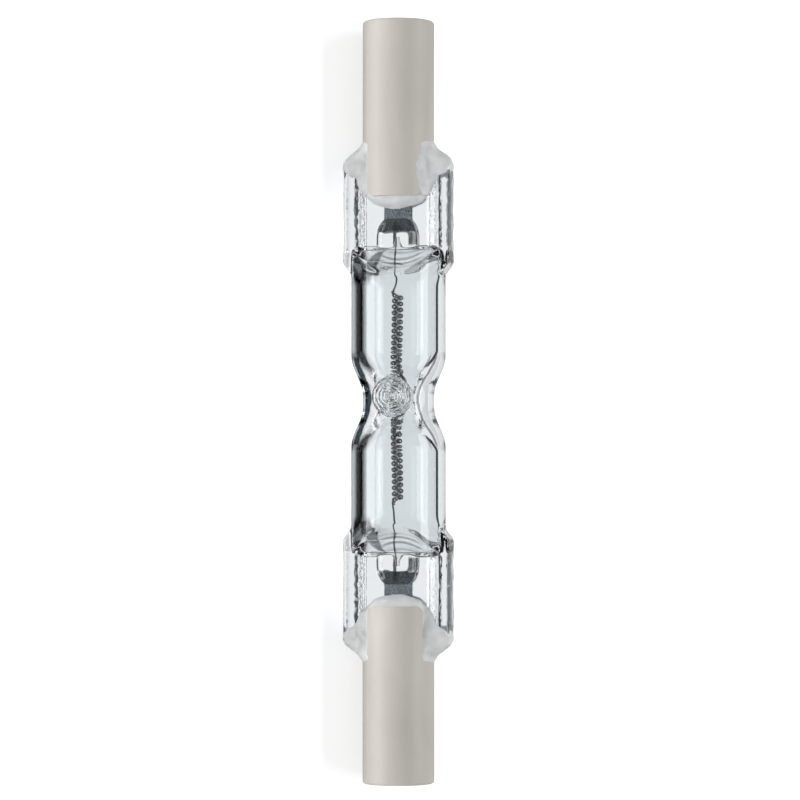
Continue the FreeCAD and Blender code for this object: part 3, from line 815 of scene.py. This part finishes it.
class Net:
    """The nodes of a material or a world, and what adds to them."""

    def __init__(self, owner):
        owner.use_nodes = True
        self.nodes = owner.node_tree.nodes
        self.link = owner.node_tree.links.new
        self.surface = self.nodes.get("Principled BSDF")

    def math(self, operation, *values):
        node = self.nodes.new("ShaderNodeMath")
        node.operation = operation
        for index, value in enumerate(values):
            if isinstance(value, (int, float)):
                node.inputs[index].default_value = value
            else:
                self.link(value, node.inputs[index])
        return node.outputs["Value"]

    def product(self, first, *others):
        for other in others:
            first = self.math("MULTIPLY", first, other)
        return first

    def most(self, first, *others):
        for other in others:
            first = self.math("MAXIMUM", first, other)
        return first

    def ramp(self, value, stops):
        """A colour that follows a value from 0 to 1, from stops of (value, colour)."""
        node = self.nodes.new("ShaderNodeValToRGB")
        elements = node.color_ramp.elements
        while len(elements) > 1:
            elements.remove(elements[-1])
        for index, (place, colour) in enumerate(stops):
            stop = elements[0] if index == 0 else elements.new(place)
            stop.position = place
            stop.color = (*colour, 1)
        self.link(value, node.inputs["Fac"])
        return node.outputs["Color"]

    def band(self, value, *stops):
        """A grey level that follows a value, from stops of (value, level)."""
        low, high = stops[0][0], stops[-1][0]
        share = self.math("DIVIDE", self.math("SUBTRACT", value, low), high - low)
        return self.ramp(share, [((place - low) / (high - low), (level,) * 3) for place, level in stops])

    def noise(self, vector, scale, detail):
        texture = self.nodes.new("ShaderNodeTexNoise")
        texture.inputs["Scale"].default_value = scale
        texture.inputs["Detail"].default_value = detail
        self.link(vector, texture.inputs["Vector"])
        return texture.outputs["Fac"]

    def place(self, kind="Object"):
        return self.nodes.new("ShaderNodeTexCoord").outputs[kind]

    def split(self, vector):
        node = self.nodes.new("ShaderNodeSeparateXYZ")
        self.link(vector, node.inputs["Vector"])
        return node.outputs["X"], node.outputs["Y"], node.outputs["Z"]

    def mixed(self, share, one, other):
        """One colour, replaced by the other as far as the share goes."""
        node = self.nodes.new("ShaderNodeMix")
        node.data_type = "RGBA"
        self.link(share, node.inputs["Factor"])
        for socket, colour in (("A", one), ("B", other)):
            if isinstance(colour, tuple):
                node.inputs[socket].default_value = (*colour, 1)
            else:
                self.link(colour, node.inputs[socket])
        return node.outputs["Result"]

    def bump(self, height, strength, distance):
        node = self.nodes.new("ShaderNodeBump")
        node.inputs["Strength"].default_value = strength
        node.inputs["Distance"].default_value = distance
        self.link(height, node.inputs["Height"])
        self.link(node.outputs["Normal"], self.surface.inputs["Normal"])


def new_material(name):
    made = bpy.data.materials.new(name)
    return made, Net(made)


glass, net = new_material("quartz")
shader = net.surface
shader.inputs["Roughness"].default_value = 0.0
shader.inputs["IOR"].default_value = 1.458
shader.inputs["Transmission Weight"].default_value = 1.0
# The glass's own faint tint. Towards grazing angles it turns darker: that is painted shade, drawing the
# tube's dark edges.
facing = net.nodes.new("ShaderNodeLayerWeight")
facing.inputs["Blend"].default_value = 0.5
tint_and_edge_shade = net.ramp(facing.outputs["Facing"], [
    (0.0, (0.826, 0.856, 0.87)), (0.45, (0.81, 0.84, 0.858)),
    (0.8, (0.68, 0.72, 0.76)), (1.0, (0.38, 0.42, 0.47)),
])

# The lamp's own millimetres, and a slow noise in them
lamp_space = net.nodes.new("ShaderNodeMapping")
lamp_space.vector_type = "TEXTURE"
lamp_space.inputs["Location"].default_value = (0, 0, TUBE_R * MM)
lamp_space.inputs["Rotation"].default_value = (ROLL, 0, 0)
lamp_space.inputs["Scale"].default_value = (MM, MM, MM)
net.link(net.place(), lamp_space.inputs["Vector"])
lamp_point = lamp_space.outputs["Vector"]
lamp_x, lamp_y, lamp_z = net.split(lamp_point)
along = net.math("ABSOLUTE", lamp_x)
on_front = net.math("GREATER_THAN", lamp_z, 0)
uneven = net.noise(lamp_point, 1.3, 2.5)

# Painted shade: where the glass is steep or folded, near black is painted into its colour for the little of
# the light under the lamp that it passes on.
# First, painted dark lines along both edges of the rails' slopes.
wavy = net.math("ADD", lamp_y, net.math("MULTIPLY_ADD", uneven, 0.6, -0.3))
straighter = net.math("ADD", lamp_y, net.math("MULTIPLY_ADD", uneven, 0.25, -0.125))
left_painted_shade = net.band(
    wavy, (-5.6, 0.5), (-5.4, 0), (-4.32, 0), (-4.24, 1), (-3.98, 1), (-3.9, 0),
    (-3.54, 0), (-3.46, 0.97), (-3.38, 0),
)
right_painted_shade = net.band(
    straighter, (3.4, 0), (3.46, 0.8), (3.56, 0), (4.4, 0), (4.47, 1), (4.6, 1), (4.68, 0),
    (5.25, 0), (5.33, 0.97), (5.6, 0.97),
)
edges = net.product(
    net.most(left_painted_shade, right_painted_shade),
    on_front,
    net.band(along, (15.4, 0), (15.9, 1), (23, 1), (24, 0)),
    net.band(uneven, (0.3, 0.8), (0.42, 1), (0.6, 1), (0.7, 0.85)),
)

# Painted shade round the end of the rib, as a dark line on the left and a thick painted shade on the right
rib_over = net.most(net.math("SUBTRACT", net.math("ABSOLUTE", lamp_y), 0.85), 0)
rib_past = net.product(net.most(net.math("SUBTRACT", along, 16.7), 0), 0.6)
from_rib = net.math("SQRT", net.math("ADD", net.product(rib_over, rib_over), net.product(rib_past, rib_past)))
rib_round_shade = net.band(from_rib, (0.38, 0), (0.5, 1), (1.2, 1), (1.27, 0))
rib_shade_line = net.band(from_rib, (1.0, 0), (1.07, 1), (1.22, 1), (1.27, 0))
thick = net.most(net.math("GREATER_THAN", lamp_y, 0), net.math("GREATER_THAN", along, 17.35))
rib_painted_shade = net.product(
    net.most(net.product(rib_round_shade, thick), rib_shade_line),
    net.band(along, (15.8, 0), (16.1, 1), (18.8, 1), (19.2, 0)),
    net.band(along, (15.8, 1), (17.2, 1), (17.5, 0.9), (19.2, 0.9)),
    net.band(uneven, (0.3, 1), (0.5, 0.99), (0.62, 0.95)),
)

# Painted shade down the walls of the neck, by the angle round the axis: a dark streak on the left, a dark
# line on the right
even_deg = net.product(net.math("ARCTAN2", lamp_y, lamp_z), 180 / math.pi)
wavy_deg = net.math("ADD", even_deg, net.math("MULTIPLY_ADD", uneven, 5, -2.5))
left_run = net.math("ADD", wavy_deg, net.math("MULTIPLY_ADD", along, 1.2, 48.5))
left_wall_shade = net.band(left_run, (-11, 0), (-8, 1), (6, 1), (9, 0))
right_bend = net.band(along, (0, 0.438), (1, 0.448), (2, 0.488), (3.5, 0.577), (5, 0.656))
right_bend = net.product(right_bend, 100)
right_run = net.math("SUBTRACT", wavy_deg, right_bend)
right_wall_shade = net.band(right_run, (-3, 0), (-1.8, 0.9), (1.8, 0.9), (3, 0), (5, 0.3), (25, 0.5), (35, 0.3))
neck_painted_shade = net.product(
    net.most(left_wall_shade, right_wall_shade),
    net.band(along, (0, 1), (4.4, 1), (5.2, 0)),
    net.math("GREATER_THAN", lamp_z, 1.6),
)

# Painted shade on the shoulder's left wall, which folds the light away: a wider dark strip, which runs out to
# a point
strip_edge = net.band(along, (12, 0.34), (13.2, 0.335), (14.0, 0.38), (14.6, 0.46), (15.1, 0.55))
strip_edge = net.product(strip_edge, -100)
shoulder_painted_shade = net.product(
    net.band(net.math("SUBTRACT", even_deg, strip_edge), (-3, 1), (1, 0)),
    net.band(even_deg, (-62, 0), (-57, 1)),
    net.band(along, (11.7, 0), (12.4, 0.93), (14.9, 0.93), (15.15, 0)),
    on_front,
)

# Faint painted dark arcs: painted shade where the end of the bore closed under the jaws
off_middle = net.math("SUBTRACT", lamp_y, 0.5)
smile = net.math("SUBTRACT", along, net.product(off_middle, off_middle, 0.11))
arc_shade = net.band(
    smile, (13.38, 0), (13.46, 0.35), (13.54, 0.35), (13.62, 0), (13.74, 0), (13.82, 0.7), (13.92, 0.7),
    (14.02, 0), (14.3, 0), (14.4, 0.45), (14.48, 0.45), (14.6, 0),
)
arc_shade_fade = net.band(net.math("ABSOLUTE", off_middle), (0, 1), (1.9, 0.9), (2.4, 0.4), (3.2, 0))
arc_shade = net.product(arc_shade, arc_shade_fade, on_front)

# All these painted shades turn the glass's colour towards near black
painted_shade_share = net.math("MINIMUM", net.most(edges, rib_painted_shade, neck_painted_shade, shoulder_painted_shade, arc_shade), 1)
net.link(net.mixed(painted_shade_share, tint_and_edge_shade, (0.004, 0.007, 0.010)), shader.inputs["Base Color"])

# Dimples left by the press on the slopes of the rails, the melt's ripples at the neck and the
# rings on the tip
on_slope = net.product(
    net.band(
        lamp_y, (-4.6, 0), (-4.2, 0.3), (-3.5, 0.3), (-3.2, 0), (3.1, 0), (3.4, 0.9), (4.3, 0.9), (4.5, 0),
    ),
    net.band(along, (0, 0), (15.2, 0), (16, 1), (23, 1), (24.4, 0.2), (25, 0.2)),
)
at_neck = net.band(along, (0, 0.04), (0.2, 0.04), (1.0, 0.11), (2.4, 0.08), (3.4, 0))
dimples = net.product(net.math("ADD", on_slope, at_neck), net.noise(lamp_point, 2.8, 2.0))
tip_x = net.math("SUBTRACT", lamp_x, TIP_X)
tip_far = net.math("SQRT", net.math("ADD", net.product(tip_x, tip_x), net.product(lamp_y, lamp_y)))
tip_wave = net.math("SINE", net.product(net.math("MULTIPLY_ADD", uneven, 0.5, tip_far), 2 * math.pi / 0.38))
on_tip = net.product(
    net.band(tip_far, (0, 0.5), (0.4, 1), (1.9, 1), (2.1, 0)),
    net.math("GREATER_THAN", lamp_z, 3.4),
)
net.bump(net.math("ADD", dimples, net.product(tip_wave, on_tip, 0.12)), 1.0, 0.0003)

# The lamp's shadow is a pale one
clear = net.nodes.new("ShaderNodeBsdfTransparent")
clear.inputs["Color"].default_value = (0.82, 0.86, 0.88, 1)
mix = net.nodes.new("ShaderNodeMixShader")
net.link(net.nodes.new("ShaderNodeLightPath").outputs["Is Shadow Ray"], mix.inputs["Fac"])
net.link(shader.outputs["BSDF"], mix.inputs[1])
net.link(clear.outputs["BSDF"], mix.inputs[2])
net.link(mix.outputs["Shader"], net.nodes["Material Output"].inputs["Surface"])


def speckled(
        name, low, high, scale, detail, roughness, metallic, bump, stretch=(1, 1, 1), spread=(0.35, 0.65)):
    """A material between two colours that change with a noise. The bump is a strength and a depth."""
    made, net = new_material(name)
    shift = net.nodes.new("ShaderNodeMapping")
    shift.inputs["Scale"].default_value = stretch
    net.link(net.place(), shift.inputs["Vector"])
    grain = net.noise(shift.outputs["Vector"], scale, detail)
    colour = net.ramp(grain, [(spread[0], low), (spread[1], high)])
    net.link(colour, net.surface.inputs["Base Color"])
    net.surface.inputs["Roughness"].default_value = roughness
    net.surface.inputs["Metallic"].default_value = metallic
    net.bump(grain, *bump)
    return made, net, colour


SOFT_BUMP = (0.2, 0.0001)
tungsten = speckled("tungsten", (0.035, 0.036, 0.04), (0.1, 0.102, 0.108), 900, 3, 0.45, 0.9, SOFT_BUMP)[0]
foil_metal = speckled(
    "foil_metal", (0.13, 0.145, 0.16), (0.36, 0.39, 0.42), 8200, 4, 0.55, 0.7, (0.6, 0.0001),
    spread=(0.42, 0.58),
)[0]
ceramic = speckled(
    "ceramic", (0.545, 0.508, 0.462), (0.615, 0.58, 0.53), 260, 5, 0.5, 0.0, (0.15, 0.00008),
    stretch=(0.3, 1, 1),
)[0]
paste = speckled("paste", (0.68, 0.69, 0.69), (0.79, 0.8, 0.795), 900, 5, 0.7, 0.0, (0.5, 0.00015))[0]
contact_metal = speckled(
    "contact_metal", (0.5, 0.49, 0.46), (0.66, 0.65, 0.61), 800, 3, 0.35, 0.9, SOFT_BUMP,
)[0]

# The lead is browned by oxide where it comes out of the glass
lead_metal, net, lead_colour = speckled(
    "lead_metal", (0.05, 0.048, 0.046), (0.13, 0.125, 0.12), 700, 3, 0.5, 0.8, SOFT_BUMP,
)
from_middle = net.math("ABSOLUTE", net.split(net.place())[0])
heat = net.band(from_middle, (0.015, 0.3), (0.0153, 0.9), (0.01584, 0.9), (0.0162, 0), (0.018, 0))
net.link(net.mixed(heat, lead_colour, (0.36, 0.22, 0.1)), net.surface.inputs["Base Color"])


def dress(thing, made, slot_name, *nodes_replaced):
    thing.data.materials.clear()
    thing.data.materials.append(made)
    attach(thing, "root")
    if nodes_replaced:
        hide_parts(*nodes_replaced)


dress(envelope, glass, "quartz", "quartz_envelope")
dress(filament, tungsten, "filament", "coiled_filament")
dress(lead_a, lead_metal, "lead", "inner_lead_a")
dress(lead_b, lead_metal, "lead", "inner_lead_b")
dress(cap_a, ceramic, "ceramic", "ceramic_cap_a")
dress(cap_b, ceramic, "ceramic", "ceramic_cap_b")
dress(cement_a, paste, "cement", "cap_cement_a")
dress(cement_b, paste, "cement", "cap_cement_b")
KEPT = {"outer_lead": lead_metal, "seal_foil": foil_metal, "end_contact": contact_metal}
for node_name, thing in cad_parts.items():
    made = KEPT.get(node_name[:-2])
    if made:
        for slot in thing.material_slots:
            slot.material = made


# Floor, light and camera

FLOOR_HALF = 3
FLOOR_SEEN = 0.66
floor_corners = [
    (x * FLOOR_HALF, y * FLOOR_HALF, 0) for x, y in ((-1, -1), (1, -1), (1, 1), (-1, 1))
]
floor = in_scene("floor", mesh_of("floor", floor_corners, [(0, 1, 2, 3)]))
paper, net = new_material("floor")
shader = net.surface
shader.inputs["Roughness"].default_value = 0.9
shader.inputs["Specular IOR Level"].default_value = 0.0
shader.inputs["Emission Color"].default_value = (1, 1, 1, 1)

# The camera sees pale paper all over. Rays through the glass or off it meet black cards on the
# paper, close beside the lamp on the left and further off on the right, which draw its edges.
# The stops are millimetres across the paper from the lamp's axis.
CARDS_FROM, CARDS_TO = -40, 200
floor_x, floor_y, _ = net.split(net.place())
beside_tube = net.math("LESS_THAN", net.math("ABSOLUTE", floor_x), 0.0153)
CARD_SPAN = (CARDS_TO - CARDS_FROM) * MM
across = net.math("MULTIPLY_ADD", floor_y, 1 / CARD_SPAN, -CARDS_FROM * MM / CARD_SPAN)
across = net.math("ADD", across, net.product(beside_tube, -0.0006 / CARD_SPAN))


def cards(*stops):
    return net.ramp(across, [((y - CARDS_FROM) / (CARDS_TO - CARDS_FROM), (grey,) * 3) for y, grey in stops])


through = cards((-10, 1), (-9, 0), (-3.7, 0), (-3.2, 1), (28, 1), (34, 0), (150, 0), (190, 1))
mirrored = cards((-16, 0.8), (-14.5, 0), (-3.5, 0), (-3, 0.6), (20, 0.45))
path = net.nodes.new("ShaderNodeLightPath")
seen = path.outputs["Is Camera Ray"]
refracted = path.outputs["Is Transmission Ray"]
reflected = net.product(path.outputs["Is Glossy Ray"], net.math("SUBTRACT", 1.0, refracted))
by_glass = net.math("ADD", net.product(refracted, through), net.product(reflected, mirrored))
diffuse = net.math("SUBTRACT", 1.0, net.math("ADD", seen, net.math("ADD", refracted, reflected)))
net.link(net.math("ADD", net.product(seen, FLOOR_SEEN), by_glass), shader.inputs["Emission Strength"])
paper_colour = net.mixed(net.math("ADD", seen, diffuse), (0.0, 0.0, 0.0), (0.78, 0.785, 0.79))
net.link(paper_colour, shader.inputs["Base Color"])
floor.data.materials.append(paper)

# A grey sky, white to the camera and nearly white through the glass
world = bpy.data.worlds.new("world")
bpy.context.scene.world = world
net = Net(world)
sky = net.ramp(net.split(net.place("Generated"))[2], [
    (0.0, (0.5, 0.52, 0.53)), (0.2, (0.38, 0.39, 0.4)),
    (0.6, (0.26, 0.265, 0.27)), (1.0, (0.26, 0.265, 0.27)),
])
path = net.nodes.new("ShaderNodeLightPath")
whiter = net.math("MULTIPLY_ADD", path.outputs["Is Transmission Ray"], 0.75, path.outputs["Is Camera Ray"])
net.link(net.mixed(whiter, sky, (1.0, 1.0, 1.0)), net.nodes["Background"].inputs["Color"])
net.nodes["Background"].inputs["Strength"].default_value = 1.0

# The camera looks at the front of the seals from 10 degrees to one side
TILT = ROLL - math.radians(10)
VIEW = Vector((0, -math.sin(TILT), math.cos(TILT)))
RIGHT = Vector((0, math.cos(TILT), math.sin(TILT)))
AXIS = Vector((0, 0, TUBE_R * MM))


def soft_box(name, length, width, power, placed):
    """A rectangular light, its length along the lamp."""
    light = bpy.data.lights.new(name, "AREA")
    light.shape = "RECTANGLE"
    light.size = length
    light.size_y = width
    light.energy = power
    thing = in_scene(name, light)
    thing.matrix_world = placed
    return thing


def beside(side_deg, distance):
    """A light's place beside the lamp, so many degrees to the right of the line of view."""
    towards = VIEW * math.cos(math.radians(side_deg)) + RIGHT * math.sin(math.radians(side_deg))
    x_axis = Vector((1, 0, 0))
    turn = Matrix((x_axis, towards.cross(x_axis), towards)).transposed().to_4x4()
    return Matrix.Translation(AXIS + towards * distance) @ turn


soft_box("right_strip", 0.7, 0.184, 1.75, beside(65.4, 0.5))
soft_box("left_strip", 0.7, 0.10, 0.4, beside(-50, 0.5))
# A third one lies on the paper at the left, out of the camera's sight, and shines upwards
lying = Matrix.Translation((0.0, -0.0575, 0.0006)) @ Matrix.Rotation(math.pi, 4, "X")
low_box = soft_box("low_box", 0.32, 0.085, 0.33, lying)
low_box.visible_camera = False
low_box.visible_transmission = False

SENSOR = 36
DISTANCE = 345
PICTURE_PX = 800
PX_PER_MM = 9.73
camera_data = bpy.data.cameras.new("camera")
camera_data.sensor_width = SENSOR
camera_data.lens = PX_PER_MM * DISTANCE / PICTURE_PX * SENSOR
camera = in_scene("camera", camera_data)
eye = AXIS + VIEW * DISTANCE * MM + Vector((9.7 * MM, 0, 0))
aim = AXIS + Vector((-0.15 * MM, 0, 0)) + RIGHT * (0.15 * MM)
back = (eye - aim).normalized()
right = Vector((-1, 0, 0)).cross(back).normalized()
turn = Matrix((right, back.cross(right), back)).transposed().to_4x4()
camera.matrix_world = Matrix.Translation(eye) @ turn
bpy.context.scene.camera = camera
bpy.context.scene.view_settings.view_transform = "Standard"
